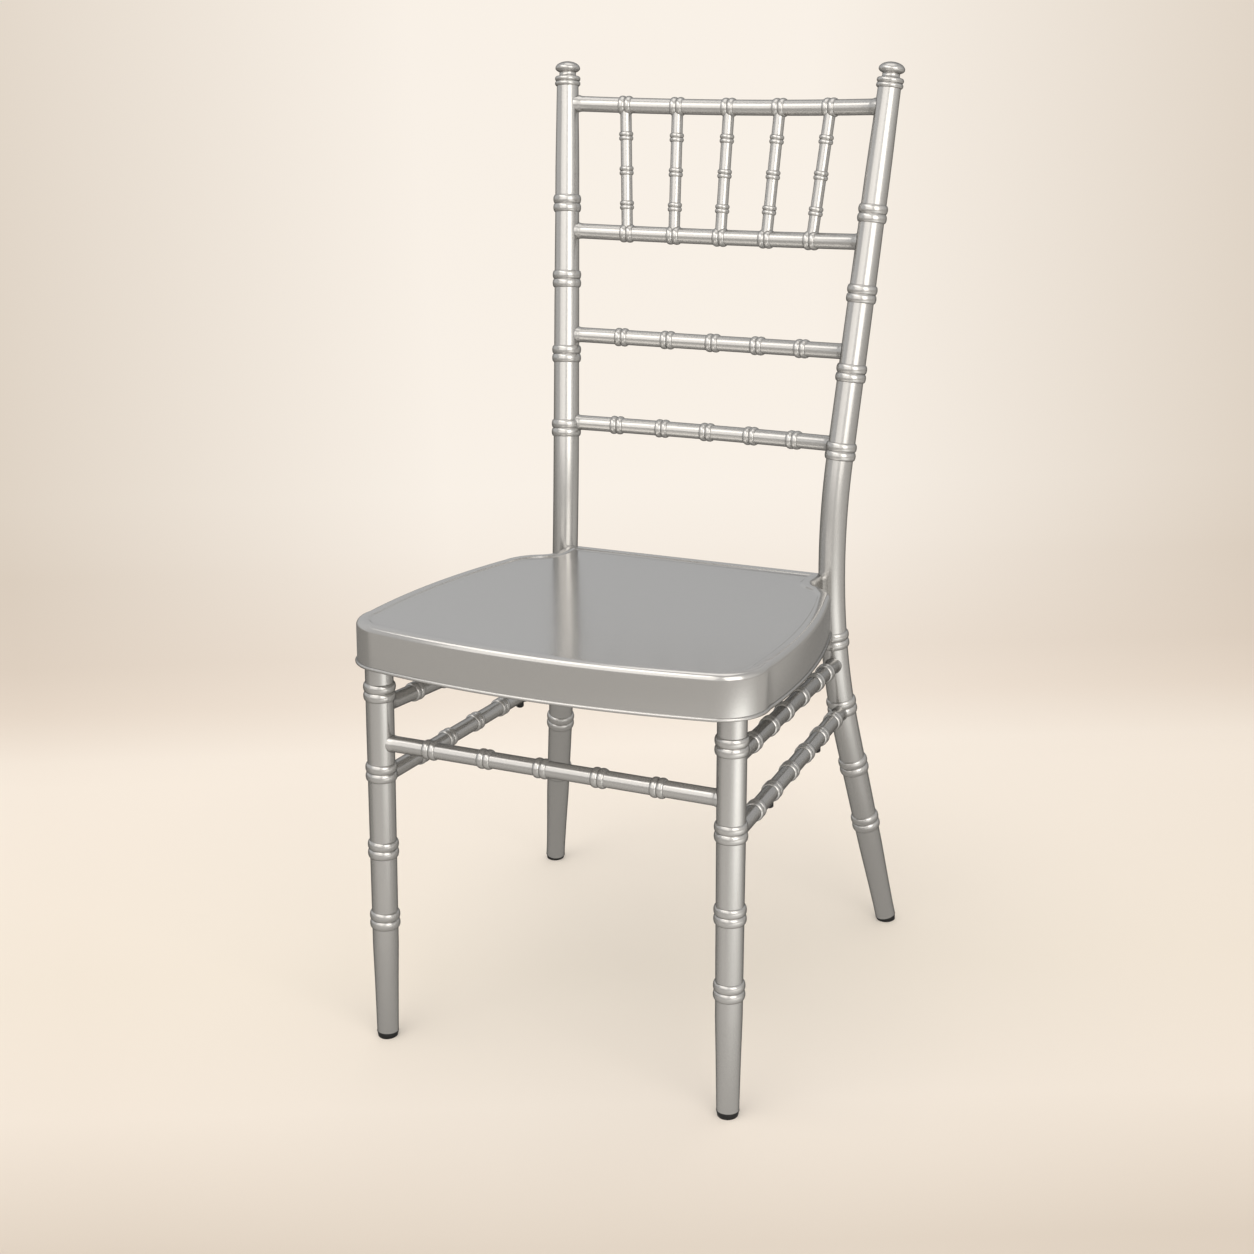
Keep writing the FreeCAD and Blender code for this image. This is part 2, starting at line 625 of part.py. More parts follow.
legs = {side: front_leg(side) for side in SIDES}
posts = {side: rear_post(side) for side in SIDES}
pan = seat_pan(list(posts.values()))
pieces = [pan]
for side in SIDES:
    name = side.lower()
    pieces.append(cut(f"front_leg_{name}", legs[side], pan))
    posts[side].Label = f"rear_post_{name}"
    pieces.append(posts[side])
    pieces.append(foot_cap(f"foot_cap_front_{name}", f"{side}.front_foot", f"{side}.front_run", floor))
    pieces.append(foot_cap(f"foot_cap_rear_{name}", f"{side}.rear_foot", f"{side}.lower", floor))

    upper = bar(f"side_stretcher_upper_{name}", on_leg(side, "Sizes.upper_stretcher_front"),
                on_bend(side, "Sizes.upper_stretcher_rear"), "Sizes.rail_radius")
    lower = bar(f"side_stretcher_lower_{name}", on_leg(side, "Sizes.lower_stretcher_front"),
                on_bend(side, "Sizes.lower_stretcher_rear"), "Sizes.rail_radius")
    for stretcher in (upper, lower):
        pieces.append(cut(stretcher.Label.replace("_tube", ""), stretcher, legs[side], posts[side]))
    pieces.append(bumper(f"bumper_front_{name}", lower, "Sizes.bumper_front"))
    pieces.append(bumper(f"bumper_rear_{name}", lower, "Sizes.bumper_rear"))

rails = {}
for name in ("crest", "second", "third", "fourth"):
    height = f"Sizes.post_top_height - Sizes.{name}_drop"
    rails[name] = Rail(f"{name}_rail", height, f"Sizes.{name}_ring_pitch")
tubes = {name: back_rail(rail, posts.values()) for name, rail in rails.items()}
pieces.extend(tubes.values())
for number in range(-2, 3):
    spindle = bar(f"baluster_{number + 3}", rails["second"].point(number), rails["crest"].point(number),
                  "Sizes.baluster_radius")
    pieces.append(cut(f"baluster_{number + 3}", spindle, tubes["second"].Base, tubes["crest"].Base))

across = bar("front_stretcher", on_leg("Left", "Sizes.front_stretcher_height"),
             on_leg("Right", "Sizes.front_stretcher_height"), "Sizes.rail_radius")
pieces.append(cut("front_stretcher", across, *legs.values()))

doc.recompute()
for item in doc.Objects:
    if {"Invalid", "Error"} & set(item.State):
        raise RuntimeError(f"{item.Label} did not compute: {item.State}")
for piece in pieces:
    shape = piece.Shape
    if shape.isNull() or not shape.isValid() or len(shape.Solids) != 1:
        raise RuntimeError(f"{piece.Label} is not one sound solid")

os.makedirs("parts", exist_ok=True)
for piece in pieces:
    piece.Shape.exportStep(f"parts/{piece.Label}.step")
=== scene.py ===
# %% [markdown]
# # A turned-look banquet chair in silver paint
#
# The real chair is welded from thin aluminium tube and sprayed with a satin silver paint. Every tube
# carries pairs of rounded beads, pressed up out of the tube so that it looks like turned wood. The seat is
# one pressed tray of sheet metal. The only other material is the black rubber of the foot caps and the
# stacking bumpers.
#
# The CAD model gives the places and sizes. This script turns, bends and presses finer pieces that lie
# exactly on it, and paints them.

# %% Load the fixed frame
import math

import bpy
from mathutils import Matrix, Vector


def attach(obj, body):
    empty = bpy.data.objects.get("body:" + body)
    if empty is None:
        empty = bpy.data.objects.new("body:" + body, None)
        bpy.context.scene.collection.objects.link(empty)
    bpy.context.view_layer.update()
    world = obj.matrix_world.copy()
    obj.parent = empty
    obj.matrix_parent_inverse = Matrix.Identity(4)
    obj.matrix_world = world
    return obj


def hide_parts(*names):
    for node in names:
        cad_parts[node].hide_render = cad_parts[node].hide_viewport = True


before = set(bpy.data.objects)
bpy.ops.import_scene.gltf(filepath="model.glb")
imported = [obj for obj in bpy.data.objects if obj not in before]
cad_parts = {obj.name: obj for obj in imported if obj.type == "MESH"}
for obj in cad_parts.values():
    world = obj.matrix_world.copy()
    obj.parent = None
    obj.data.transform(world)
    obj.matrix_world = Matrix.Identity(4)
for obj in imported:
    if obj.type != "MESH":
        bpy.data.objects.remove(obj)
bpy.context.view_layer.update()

# %% [markdown]
# ## The lines of the frame
#
# The same few points as in the CAD model, in metres: where the feet stand, where the rear posts bend and
# where they end. Everything else is measured along those lines, so the pieces fall on the CAD solids. The
# left side is the mirror image of the right one, so only the right side is laid out.

# %% Feet, knees and tops
MM = 0.001


def point(*sizes):
    """A point or size given in millimetres."""
    return Vector(sizes) * MM


front_foot = point(184.5, -238.5, 0)
front_run = Vector((-math.tan(math.radians(0.47)), math.tan(math.radians(4.26)), 1))
rear_foot = point(206.1, 181.1, 0)
knee = point(146.7, 121.4, 380.7)
post_top = point(177.0, 230.1, 889.0)
bend_radius = 722 * MM

lower = (knee - rear_foot).normalized()
upper = (post_top - knee).normalized()
bend = lower.angle(upper)
bend_tangent = bend_radius * math.tan(bend / 2)
bend_start = (knee - rear_foot).length - bend_tangent
bend_end = bend_start + bend_radius * bend
post_length = bend_end + (post_top - knee).length - bend_tangent
print(f"post tube {post_length / MM:.1f} mm long, bent {math.degrees(bend):.2f} degrees")


# %% Places on those lines
def on_leg(height):
    """A point of the front leg's axis at a height above the floor."""
    return front_foot + front_run * height


def on_back(height):
    """A point of the post's upper straight at a height above the floor."""
    return knee + upper * ((height - knee.z) / upper.z)


def on_post(reach):
    """A point of the post's axis at a distance along the tube from the foot, below the upper straight."""
    if reach < bend_start:
        return rear_foot + lower * reach
    inward = (upper - lower * upper.dot(lower)).normalized()
    turn = (reach - bend_start) / bend_radius
    return (rear_foot + lower * (bend_start + bend_radius * math.sin(turn))
            + inward * bend_radius * (1 - math.cos(turn)))


print("front leg at seat height", on_leg(0.43), "rail end on post", on_back(0.8718))

# %% [markdown]
# ## Turning a round piece
#
# Each tube is a round piece, so it is made the way a lathe makes it. One vertex is extruded again and again
# along the outline, from the axis at one end to the axis at the other, and the outline is spun once round
# Z. The alternative, a cylinder with rings added to it, would leave creases where the rings pass into the
# tube. After the spin the doubled vertices at the poles are merged, and only then are the normals turned
# outward.


# %% A lathe
SAME_PLACE = 0.005 * MM  # vertices closer than this are one vertex


def only(piece):
    """Makes one piece the only selected and active object."""
    bpy.ops.object.select_all(action="DESELECT")
    piece.select_set(True)
    bpy.context.view_layer.objects.active = piece


def one_vertex(name):
    """A new piece in Edit Mode that holds one selected vertex, at the origin."""
    bpy.ops.object.select_all(action="DESELECT")
    bpy.ops.mesh.primitive_circle_add(vertices=3, radius=MM)
    piece = bpy.context.object
    piece.name = name
    bpy.ops.object.mode_set(mode="EDIT")
    bpy.ops.mesh.select_all(action="SELECT")
    bpy.ops.mesh.merge(type="CENTER")
    return piece


def turned(name, outline, steps=40, crease=38):
    """A closed round piece from an outline of (radius, height) points, spun round Z."""
    piece = one_vertex(name)
    bpy.ops.transform.translate(value=(outline[0][0], 0, outline[0][1]))
    for (radius, height), (next_radius, next_height) in zip(outline, outline[1:]):
        step = (next_radius - radius, 0, next_height - height)
        bpy.ops.mesh.extrude_vertices_move(TRANSFORM_OT_translate={"value": step})
    bpy.ops.mesh.select_all(action="SELECT")
    bpy.ops.mesh.spin(steps=steps, angle=math.tau, center=(0, 0, 0), axis=(0, 0, 1))
    bpy.ops.mesh.select_all(action="SELECT")
    bpy.ops.mesh.remove_doubles(threshold=SAME_PLACE)
    bpy.ops.mesh.normals_make_consistent(inside=False)
    bpy.ops.object.mode_set(mode="OBJECT")
    bpy.ops.object.shade_smooth_by_angle(angle=math.radians(crease))
    return piece


# %% Outlines of beads and tapered tubes
BEAD_START = 0.25  # radians: where a bead's round leaves the bottom of the groove
BEAD_STEPS = 8


def bead_pair(middle, radius, proud, length):
    """The outline of two rounded beads side by side, with a narrow groove between them."""
    half = length / 2 / (1 + math.cos(BEAD_START))
    offset = half * math.cos(BEAD_START)
    points = []
    for side in (-1, 1):
        start, end = (0, math.pi - BEAD_START) if side < 0 else (BEAD_START, math.pi)
        for step in range(BEAD_STEPS + 1):
            angle = start + (end - start) * step / BEAD_STEPS
            points.append((radius + proud * math.sin(angle), middle + side * offset - half * math.cos(angle)))
    return points


def radius_at(stations, reach):
    """The radius between the two nearest stations, each a reach and a radius."""
    for (low, low_radius), (high, high_radius) in zip(stations, stations[1:]):
        if reach <= high:
            return low_radius + (high_radius - low_radius) * max(0, reach - low) / (high - low)
    return stations[-1][1]


def tube_outline(stations, beads, proud, length, step=12 * MM):
    """The outline of a tapered tube with bead pairs on it, closed at both ends."""
    start, end = stations[0][0], stations[-1][0]
    points = [(0, start), (stations[0][1], start)]
    reached = start
    for middle in list(beads) + [None]:
        stop = end if middle is None else middle - length / 2
        marks = [reach for reach, radius in stations if reached < reach < stop]
        parts = max(1, math.ceil((stop - reached) / step))
        marks += [reached + (stop - reached) * part / parts for part in range(1, parts + (middle is None))]
        points += [(radius_at(stations, reach), reach) for reach in sorted(marks)]
        if middle is not None:
            points += bead_pair(middle, radius_at(stations, middle), proud, length)
            reached = middle + length / 2
    return points + [(0, end)]


# %% Placing a piece, and making its mirror image
def laid(piece, start, direction):
    """Stands the piece at a point, with its Z axis along a direction."""
    only(piece)
    piece.matrix_world = Matrix.Translation(start) @ direction.to_track_quat("Z", "Y").to_matrix().to_4x4()
    bpy.ops.object.transform_apply(location=True, rotation=True, scale=True)
    return piece


def copied(piece, name):
    """A copy of the piece with a mesh of its own."""
    only(piece)
    bpy.ops.object.duplicate(linked=False)
    copy = bpy.context.object
    copy.name = name
    return copy


def mirrored(piece, name):
    """The same piece for the left side of the chair."""
    copy = copied(piece, name)
    only(copy)
    bpy.ops.object.mode_set(mode="EDIT")
    bpy.ops.mesh.select_all(action="SELECT")
    bpy.ops.transform.resize(value=(-1, 1, 1), center_override=(0, 0, 0))
    bpy.ops.mesh.normals_make_consistent(inside=False)
    bpy.ops.object.mode_set(mode="OBJECT")
    return copy


pieces = {}  # each new piece, with the CAD nodes it stands for and its material slot


def keep(piece, nodes, slot="painted_frame"):
    """Notes a finished piece for the paint and for the frame."""
    pieces[piece.name] = (piece, nodes, slot)
    print(f"{piece.name}: {len(piece.data.vertices)} vertices")


# %% [markdown]
# ## Front legs
#
# A front leg is a straight tube of about 27 mm that narrows below its lowest beads to a 21.6 mm foot. Four
# pairs of beads are pressed up out of it: rollers inside the tube push the metal out between two outer
# dies, so each bead is round and the groove between the two is narrow. It is turned upright at the origin,
# then laid along the leaning axis of the CAD leg.

# %% Turn the front legs
post_bead_proud = 2.1 * MM
post_bead_length = 18 * MM
cap_height = 5.5 * MM
seat_front = point(0, -250.9, 438)
seat_tilt = math.radians(3.8)
seat_normal = Vector((0, math.sin(seat_tilt), math.cos(seat_tilt)))
under_panel = 2.7 * MM  # rim down to the middle of the panel's sheet, where the leg ends

front_stretch = front_run.length
leg_rise = seat_normal.dot(seat_front - front_foot) - under_panel  # foot to sheet, square to the seat
front_reach = leg_rise / seat_normal.dot(front_run) * front_stretch
front_stations = [
    (cap_height, 10.8 * MM), (60 * MM, 11.8 * MM), (100 * MM, 12.8 * MM), (162 * MM, 13.0 * MM),
    (245 * MM, 13.3 * MM), (330 * MM, 13.6 * MM), (front_reach, 13.6 * MM),
]
front_beads = [height * MM * front_stretch for height in (127.6, 202.4, 282.3, 363.7)]
outline = tube_outline(front_stations, front_beads, post_bead_proud, post_bead_length)
front_leg = turned("front_leg_right_tube", outline, steps=48)
keep(laid(front_leg, front_foot, front_run), ["front_leg_right"])
keep(mirrored(front_leg, "front_leg_left_tube"), ["front_leg_left"])

# %% [markdown]
# ## Rear posts
#
# Each rear post is one tube from the foot to the finial. It is turned straight and then bent once at the
# seat, as the factory does it on a tube bender. Here the straight piece follows a Bezier path of three
# parts through a Curve modifier: straight, arc, straight. A path is better than the Simple Deform bend,
# because that one bends the whole length and would need the piece cut in three.
#
# The finial is part of the same outline: two beads, a waist and a flattened ball.


# %% Bend a straight piece along a path
def bezier_path(corners):
    """A curve through points, each with the direction it runs in and the lengths of its two handles."""
    bpy.ops.object.select_all(action="DESELECT")
    bpy.ops.curve.primitive_bezier_curve_add()
    path = bpy.context.object
    spline = path.data.splines[0]
    spline.bezier_points.add(len(corners) - 2)
    for knot, (place, direction, before, after) in zip(spline.bezier_points, corners):
        knot.handle_left_type = knot.handle_right_type = "FREE"
        knot.co = place
        knot.handle_left = place - direction * before
        knot.handle_right = place + direction * after
    path.data.resolution_u = 48
    path.data.twist_mode = "MINIMUM"
    return path


def bent(piece, path):
    """Bends an upright piece along a path, whose start is the piece's origin."""
    only(piece)
    modifier = piece.modifiers.new("Bend", "CURVE")
    modifier.object = path
    modifier.deform_axis = "POS_Z"
    bpy.ops.object.modifier_apply(modifier=modifier.name)
    bpy.data.objects.remove(path)
    return piece


# %% Turn and bend the rear posts
def ball(middle, radius, half, start, end, steps=12):
    """Part of an ellipse's outline, between two angles above its widest place in degrees."""
    angles = [math.radians(start + (end - start) * step / steps) for step in range(steps + 1)]
    return [(radius * math.cos(angle), middle + half * math.sin(angle)) for angle in angles]


post_stations = [
    (cap_height, 10.9 * MM), (22 * MM, 10.95 * MM), (51 * MM, 11.5 * MM), (97 * MM, 12.7 * MM),
    (175 * MM, 13.3 * MM), (240 * MM, 13.7 * MM), (bend_end, 13.8 * MM), (600 * MM, 13.6 * MM),
    (673 * MM, 13.4 * MM), (740 * MM, 13.1 * MM), (775 * MM, 12.8 * MM), (819 * MM, 12.75 * MM),
    (848 * MM, 12.4 * MM), (870 * MM, 12.0 * MM), (post_length, 11.5 * MM),
]
knee_reach = bend_end - bend_tangent  # the upper straight is measured from the knee
post_beads = [reach * MM for reach in (129, 199.8, 272, 348)]
post_beads += [knee_reach + (160.6 + 79.4 * number) * MM for number in range(4)]
collar_bead = 5 * MM
waist = post_length + 2 * collar_bead
knob = waist + 8.2 * MM  # height of the ball's widest place
knob_radius = 13.1 * MM
finial = bead_pair(post_length + collar_bead, 11.5 * MM, 2 * MM, 2 * collar_bead)
finial += [(9.6 * MM, waist + 0.3 * MM), (8.9 * MM, waist + 1.2 * MM), (8.7 * MM, waist + 2.4 * MM),
           (8.9 * MM, waist + 3.6 * MM)]
finial += ball(knob, knob_radius, 5.2 * MM, -50, 0) + ball(knob, knob_radius, 7.2 * MM, 0, 90)[1:]
post_outline = tube_outline(post_stations, post_beads, post_bead_proud, post_bead_length)[:-1] + finial
rear_post = turned("rear_post_right_tube", post_outline, steps=48)

handle = 4 / 3 * math.tan(bend / 4) * bend_radius
first, last = rear_foot + lower * bend_start, knee + upper * bend_tangent
top = post_top + upper * 30 * MM
post_path = bezier_path([
    (rear_foot, lower, 0, bend_start / 3),
    (first, lower, bend_start / 3, handle),
    (last, upper, handle, (top - last).length / 3),
    (top, upper, (top - last).length / 3, 0),
])
keep(bent(rear_post, post_path), ["rear_post_right"])
keep(mirrored(rear_post, "rear_post_left_tube"), ["rear_post_left"])

# %% [markdown]
# ## Rails of the back
#
# Four rails of 16 mm tube join the posts, all bowed to the rear so that the back is comfortable. Each
# carries five pairs of narrow beads about its middle. The ends are coped to the posts and welded, and the
# paint bridges the weld, so the outline flares a little just before it goes into the post.

# %% Turn and bow the rails
rail_radius = 8 * MM
rail_bow = 21 * MM
rail_bead_proud = 1.8 * MM
rail_bead_length = 13.6 * MM
buried = 6 * MM  # from the other tube's middle to where a rail or stretcher begins inside it
along_posts = Vector((0, upper.y, upper.z))
back = (Vector((0, 1, 0)) - along_posts * upper.y / (upper.y ** 2 + upper.z ** 2)).normalized()


def weld_stations(reach):
    """A 16 mm tube whose ends lie in another tube, with a weld's flare where each comes out."""
    ends = [(buried, 9 * MM), (12.8 * MM, 8.9 * MM), (14 * MM, 8.5 * MM), (15.5 * MM, 8.15 * MM),
            (17.5 * MM, rail_radius)]
    return ends + [(reach - place, radius) for place, radius in reversed(ends)]


class RailLine:
    """A bowed rail's line: a round arc between the posts' axes."""

    def __init__(self, height, pitch):
        self.pitch = pitch
        self.end = on_back(height)
        self.radius = (self.end.x ** 2 + rail_bow ** 2) / (2 * rail_bow)
        self.angle = math.asin(self.end.x / self.radius)
        self.length = 2 * self.radius * self.angle

    def place(self, along):
        """The point and the direction of the rail at a distance along it from its middle."""
        turn = along / self.radius
        centre = Vector((0, self.end.y, self.end.z)) + back * (rail_bow - self.radius)
        return (centre + Vector((math.sin(turn), 0, 0)) * self.radius + back * math.cos(turn) * self.radius,
                Vector((math.cos(turn), 0, 0)) - back * math.sin(turn))

    def path(self):
        """The rail's line as a curve to bend the straight tube along."""
        handle = 4 / 3 * math.tan(self.angle / 2) * self.radius
        left, right = self.place(-self.length / 2), self.place(self.length / 2)
        return bezier_path([(*left, 0, handle), (*right, handle, 0)])


rails = {}
for name, height, pitch in (("crest", 871.8, 57), ("second", 742.7, 51.9), ("third", 635.7, 51.3),
                            ("fourth", 544.0, 50.8)):
    line = RailLine(height * MM, pitch * MM)
    beads = [line.length / 2 + number * line.pitch for number in range(-2, 3)]
    outline = tube_outline(weld_stations(line.length), beads, rail_bead_proud, rail_bead_length)
    rail = bent(turned(f"{name}_rail_tube", outline, steps=36), line.path())
    rails[name] = line
    keep(rail, [f"{name}_rail"])

# %% [markdown]
# ## Balusters
#
# Five slim spindles stand between the two top rails. They fan out, because the crest rail's beads are
# further apart than the second rail's, and both ends meet a rail in the groove between its two beads. One
# is turned, with three pairs of small beads. The five differ a little in length, so each copy is stretched
# along its axis before it is laid in place.

# %% Turn the balusters
baluster_radius = 6 * MM
baluster_inset = 3 * MM  # from the rail's middle to the end inside the rail
bead_shares = (0.24, 0.51, 0.78)  # from the crest rail down
crest, second = rails["crest"], rails["second"]
spans = [(crest.place(number * crest.pitch)[0], second.place(number * second.pitch)[0])
         for number in range(-2, 3)]
baluster_length = (spans[2][0] - spans[2][1]).length
ends = [(baluster_inset, baluster_radius), (baluster_length - baluster_inset, baluster_radius)]
beads = [baluster_length * share for share in bead_shares]
outline = tube_outline(ends, beads, proud=1.5 * MM, length=9 * MM)
pattern = turned("baluster_pattern", outline, steps=32)
for number, (high, low) in enumerate(spans, 1):
    baluster = copied(pattern, f"baluster_{number}_tube")
    baluster.scale.z = (low - high).length / baluster_length
    bpy.ops.object.transform_apply(location=False, rotation=False, scale=True)
    keep(laid(baluster, high, low - high), [f"baluster_{number}"])
bpy.data.objects.remove(pattern)

# %% [markdown]
# ## Stretchers
#
# One straight stretcher joins the front legs and two join each front leg to its rear post. They are the
# same 16 mm tube as the rails, with the same beads. The upper side stretcher runs close under the seat.


# %% Turn the stretchers
def stretcher(name, start, end, beads):
    """A straight beaded tube between the axes of two legs."""
    reach = (end - start).length
    outline = tube_outline(weld_stations(reach), beads, rail_bead_proud, rail_bead_length)
    return laid(turned(name + "_tube", outline, steps=36), start, end - start)


right = on_leg(312 * MM)
left = Vector((-right.x, right.y, right.z))
keep(stretcher("front_stretcher", left, right,
               [right.x + (59.3 * number - 7) * MM for number in range(-2, 3)]), ["front_stretcher"])
side_lines = {}  # both ends of each side stretcher's axis, on the right
for name, front, rear, shares in (
        ("upper", 348, 320.6, (0.169, 0.322, 0.46, 0.614, 0.77, 0.876)),
        ("lower", 275.6, 265.9, (0.191, 0.332, 0.481, 0.623, 0.764, 0.898))):
    start, end = side_lines[name] = on_leg(front * MM), on_post(rear * MM)
    title = f"side_stretcher_{name}"
    piece = stretcher(f"{title}_right", start, end, [share * (end - start).length for share in shares])
    keep(piece, [f"{title}_right"])
    keep(mirrored(piece, f"{title}_left_tube"), [f"{title}_left"])

# %% [markdown]
# ## Foot caps and bumpers
#
# A cap of black rubber closes each tube end. It is a moulding with a thin rim, slightly narrower below, and
# its sole lies flat on the floor, so after it has been turned and laid along the leaning tube it is
# bisected at floor level. The bumpers are small rubber buttons under the lower side stretchers, which rest
# on the next chair when the chairs are stacked.

# %% Turn the rubber pieces
cap_outline = [(0, -9 * MM), (9.2 * MM, -9 * MM), (9.7 * MM, -1 * MM), (10.1 * MM, 1 * MM),
               (10.4 * MM, 2.4 * MM), (10.4 * MM, 3.7 * MM), (10.2 * MM, 4.2 * MM), (10.8 * MM, 4.5 * MM),
               (11.1 * MM, 5.0 * MM), (10.9 * MM, 5.6 * MM), (10 * MM, 6 * MM), (0, 6 * MM)]


def foot_cap(name, foot, direction):
    """A cap along a tube's axis, cut flat at the floor."""
    cap = laid(turned(name + "_moulding", cap_outline, steps=40, crease=60), foot, direction)
    only(cap)
    bpy.ops.object.mode_set(mode="EDIT")
    bpy.ops.mesh.select_all(action="SELECT")
    bpy.ops.mesh.bisect(plane_co=(0, 0, 0), plane_no=(0, 0, 1), clear_inner=True, use_fill=True)
    bpy.ops.mesh.select_all(action="SELECT")
    bpy.ops.mesh.normals_make_consistent(inside=False)
    bpy.ops.object.mode_set(mode="OBJECT")
    return cap


for name, foot, direction in (("front", front_foot, front_run), ("rear", rear_foot, lower)):
    cap = foot_cap(f"foot_cap_{name}_right", foot, direction)
    keep(cap, [f"foot_cap_{name}_right"], "foot_rubber")
    keep(mirrored(cap, f"foot_cap_{name}_left_moulding"), [f"foot_cap_{name}_left"], "foot_rubber")

lower_start, lower_end = side_lines["lower"]
bumper_outline = ball(-12 * MM, 4.2 * MM, 2 * MM, -90, 0, 6) + [(4.2 * MM, -6 * MM), (3.6 * MM, -4 * MM),
                                                                (0, -4 * MM)]
for name, share in (("front", 0.305), ("rear", 0.735)):
    bumper = turned(f"bumper_{name}_right_moulding", bumper_outline, steps=24)
    laid(bumper, lower_start.lerp(lower_end, share), Vector((0, 0, 1)))
    keep(bumper, [f"bumper_{name}_right"], "bumper_rubber")
    keep(mirrored(bumper, f"bumper_{name}_left_moulding"), [f"bumper_{name}_left"], "bumper_rubber")

# %% [markdown]
# ## The seat pan
#
# The seat is one sheet, pressed in a die: a raised rounded rim all round, a panel sunk a little inside it,
# a skirt, and a rolled lower edge that takes away the sharp edge and stiffens the sheet. It is drawn flat
# as on the die drawing: a vertex is spun round the centre of one arc after another to give half of the
# outline, a Mirror modifier gives the other half, and the outline is filled. Extrusion makes the skirt, a
# bevel the rounded rim and a row of insets the sunken panel. At the end the tray is tilted into its place.

# %% Draw half of the outline
def arc_centre(here, there, radius, bulge):
    """The centre of the arc between two points that bulges right (1) or left (-1) of the way between them."""
    chord = there - here
    left = Vector((-chord.y, chord.x, 0)).normalized()
    return (here + there) / 2 + left * bulge * math.sqrt(radius ** 2 - chord.length_squared / 4)


seat_arcs = [  # end of the arc across and back from the front edge, radius, outward or hollow, steps
    ((170, 17), 858, 1, 16),
    ((206.5, 68), 44.2, 1, 16),
    ((183, 298), 732, 1, 20),
    ((157.1, 335.6), 52, 1, 14),
    ((148, 351.3), 18, -1, 10),
]
seat_depth = 387 * MM
pan = one_vertex("seat_pan_pressing")
here = Vector((0, 0, 0))
for end, radius, bulge, steps in seat_arcs:
    there = point(*end, 0)
    centre = arc_centre(here, there, radius * MM, bulge)
    angle = (here - centre).angle(there - centre)
    bpy.ops.mesh.spin(steps=steps, angle=angle, center=centre, axis=(0, 0, -bulge), use_auto_merge=False)
    here = there
bpy.ops.mesh.extrude_vertices_move(TRANSFORM_OT_translate={"value": (0, seat_depth - here.y, 0)})
bpy.ops.mesh.extrude_vertices_move(TRANSFORM_OT_translate={"value": (-here.x, 0, 0)})
bpy.ops.object.mode_set(mode="OBJECT")
print("outline ends at", [round(c / MM, 2) for c in pan.data.vertices[-1].co])

# %% Fill it and draw the skirt down
touching = 0.01 * MM  # closer than this counts as the same place
mirror = pan.modifiers.new("Other half", "MIRROR")
mirror.merge_threshold = touching
only(pan)
bpy.ops.object.modifier_apply(modifier=mirror.name)
skirt = 43 * MM
skirt_flare = 1.002  # the skirt's lower edge over its upper one
pan_middle = 190 * MM
bpy.ops.object.mode_set(mode="EDIT")
bpy.ops.mesh.select_all(action="SELECT")
bpy.ops.mesh.edge_face_add()
bpy.ops.mesh.normals_make_consistent(inside=False)
bpy.ops.mesh.extrude_region_move(TRANSFORM_OT_translate={"value": (0, 0, -skirt)})
bpy.ops.transform.resize(value=(skirt_flare, skirt_flare, 1), center_override=(0, pan_middle, -skirt))
bpy.ops.mesh.delete(type="ONLY_FACE")
bpy.ops.mesh.select_all(action="SELECT")
bpy.ops.mesh.normals_make_consistent(inside=False)
bpy.ops.object.mode_set(mode="OBJECT")
print("pan shell", len(pan.data.polygons), "faces")


# %% Round the rim and sink the panel
def pick(piece, kind, test):
    """Selects the edges or faces of a piece that pass a test, and nothing else."""
    only(piece)
    bpy.ops.object.mode_set(mode="EDIT")
    bpy.ops.mesh.select_mode(type=kind)
    bpy.ops.mesh.select_all(action="DESELECT")
    bpy.ops.object.mode_set(mode="OBJECT")
    for part in {"EDGE": piece.data.edges, "FACE": piece.data.polygons}[kind]:
        part.select = test(part)
    bpy.ops.object.mode_set(mode="EDIT")


def lies_at(height):
    """A test for pick: whether an edge of the pan lies at a height."""
    return lambda edge: all(abs(pan.data.vertices[end].co.z - height) < touching for end in edge.vertices)


rim_round = 6 * MM
rim_band = 4 * MM  # flat top of the rim
pick(pan, "EDGE", lies_at(0))
bpy.ops.mesh.bevel(offset=rim_round, segments=6, profile=0.5, affect="EDGES", clamp_overlap=False)
bpy.ops.object.mode_set(mode="OBJECT")
largest = max(face.area for face in pan.data.polygons)
pick(pan, "FACE", lambda face: face.area == largest)
bpy.ops.mesh.inset(thickness=rim_band, depth=0)
recess_steps = [  # inward and down, in millimetres
    (0.7, 0.05), (0.7, 0.2), (0.7, 0.4), (0.7, 0.5), (0.7, 0.4), (0.7, 0.25), (0.8, 0.12), (1.2, 0.05)]
for across, down in recess_steps:
    bpy.ops.mesh.inset(thickness=across * MM, depth=-down * MM)
bpy.ops.object.mode_set(mode="OBJECT")
sunk = -min(vertex.co.z for vertex in pan.data.vertices if vertex.co.z > -rim_round)
print("panel below the rim", round(sunk / MM, 2), "mm")

# %% [markdown]
# The rolled edge is a small tube of the same sheet. The open lower edge of the skirt is copied off as a
# line, turned into a curve and given a round bevel, which follows the outline exactly.

